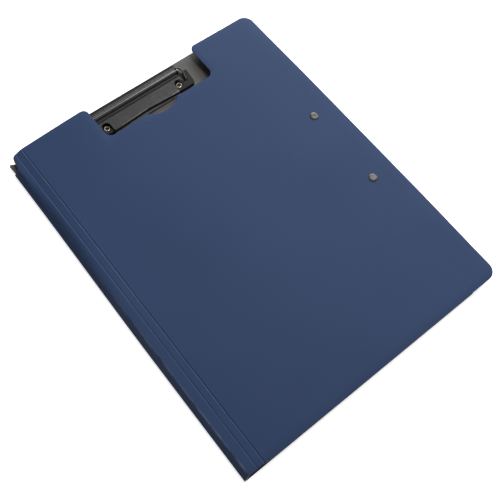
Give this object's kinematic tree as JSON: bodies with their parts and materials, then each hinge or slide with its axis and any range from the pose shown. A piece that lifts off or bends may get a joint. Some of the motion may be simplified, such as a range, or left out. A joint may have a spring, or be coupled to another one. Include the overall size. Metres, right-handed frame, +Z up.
{
  "type": "foldover clipboard folder",
  "caption": "Flat foldover clipboard folder with a scored spine, a notched front cover, and spring clips riveted to the back panel and inside the cover.",
  "frame": {"origin": "centre of the bounding box at its lowest plane, which is the outer face of the back panel", "axes": "+X from the spine to the free edge, +Y from the foot to the clip end, +Z up out of the front cover"},
  "size_m": [0.2494, 0.313, 0.0104],
  "materials": {
    "navy_sheet": "fine grained matt",
    "grey_sheet": "fine grained matt",
    "black_clip": "satin powder coat",
    "bare_rod": "drawn",
    "black_wire": "blackened",
    "rivet_metal": "plated"
  },
  "bodies": {
    "back": {"back_outer_ply": "navy_sheet", "back_inner_ply": "grey_sheet", "top_clip_base": "black_clip", "top_clip_hinge_rod": "bare_rod", "top_clip_spring": "black_wire", "top_clip_rivets": "rivet_metal"},
    "top_jaw": {"top_clip_jaw": "black_clip"},
    "spine_lower": {"spine_lower_outer": "navy_sheet", "spine_lower_inner": "grey_sheet"},
    "spine_middle": {"spine_middle_outer": "navy_sheet", "spine_middle_inner": "grey_sheet"},
    "spine_upper": {"spine_upper_outer": "navy_sheet", "spine_upper_inner": "grey_sheet"},
    "cover": {"cover_outer_ply": "navy_sheet", "cover_inner_ply": "grey_sheet", "inner_clip_base": "black_clip", "inner_clip_hinge_rod": "bare_rod", "inner_clip_spring": "black_wire", "inner_clip_rivets": "rivet_metal"},
    "inner_jaw": {"inner_clip_jaw": "black_clip"}
  },
  "joints": [
    {"name": "back_fold", "type": "hinge", "parent": "back", "child": "spine_lower", "pos_m": [-0.12443, 0, 0.0007], "axis": [0, -1, 0], "range_deg": [0, 115]},
    {"name": "spine_fold_lower", "type": "hinge", "parent": "spine_lower", "child": "spine_middle", "pos_m": [-0.12077, 0, 0.0087], "axis": [0, -1, 0], "range_deg": [0, 110]},
    {"name": "spine_fold_upper", "type": "hinge", "parent": "spine_middle", "child": "spine_upper", "pos_m": [-0.11327, 0, 0.0087], "axis": [0, -1, 0], "range_deg": [0, 67]},
    {"name": "cover_fold", "type": "hinge", "parent": "spine_upper", "child": "cover", "pos_m": [-0.10727, 0, 0.0087], "axis": [0, -1, 0], "range_deg": [0, 68]},
    {"name": "top_jaw_lift", "type": "hinge", "parent": "back", "child": "top_jaw", "pos_m": [-0.00377, 0.1457, 0.0048], "axis": [-1, 0, 0], "range_deg": [0, 75], "stiffness_Nm_per_rad": 0.2, "springref_deg": -51.57},
    {"name": "inner_jaw_lift", "type": "hinge", "parent": "cover", "child": "inner_jaw", "pos_m": [0.11493, 0.0005, 0.0046], "axis": [0, -1, 0], "range_deg": [0, 75]}
  ],
  "couplings": [
    {"joint": "inner_jaw_lift", "follows": "cover_fold", "ratio": 1.1}
  ]
}
